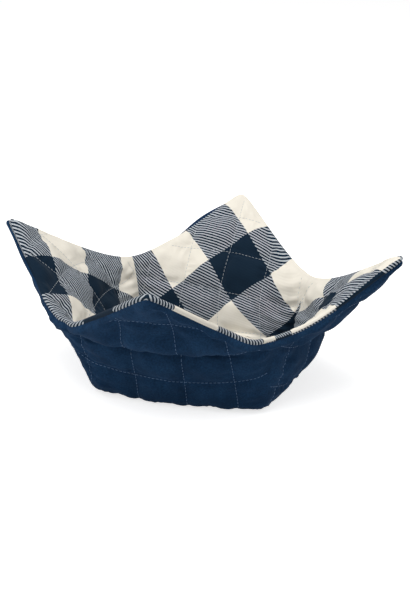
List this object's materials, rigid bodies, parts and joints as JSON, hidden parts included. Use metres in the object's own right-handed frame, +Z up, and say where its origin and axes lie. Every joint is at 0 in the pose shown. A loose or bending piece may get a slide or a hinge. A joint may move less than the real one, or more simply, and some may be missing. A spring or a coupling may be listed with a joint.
{
  "type": "microwave bowl cozy",
  "caption": "Soft quilted square bowl holder with darted walls rising to pointed corners, navy outside and a checked lining inside.",
  "frame": {"origin": "middle of the flat underside of the base, where the cozy rests on a table", "axes": "+X to the right corner and +Y to the back corner of the cloth, each over the middle of a side of the square base; +Z up"},
  "size_m": [0.2602, 0.2488, 0.096],
  "materials": {
    "navy_cotton": "matte quilted cotton",
    "check_cotton": "matte quilted cotton, navy and cream check"
  },
  "bodies": {
    "root": {"outer_shell": "navy_cotton", "inner_lining": "check_cotton"}
  },
  "joints": []
}
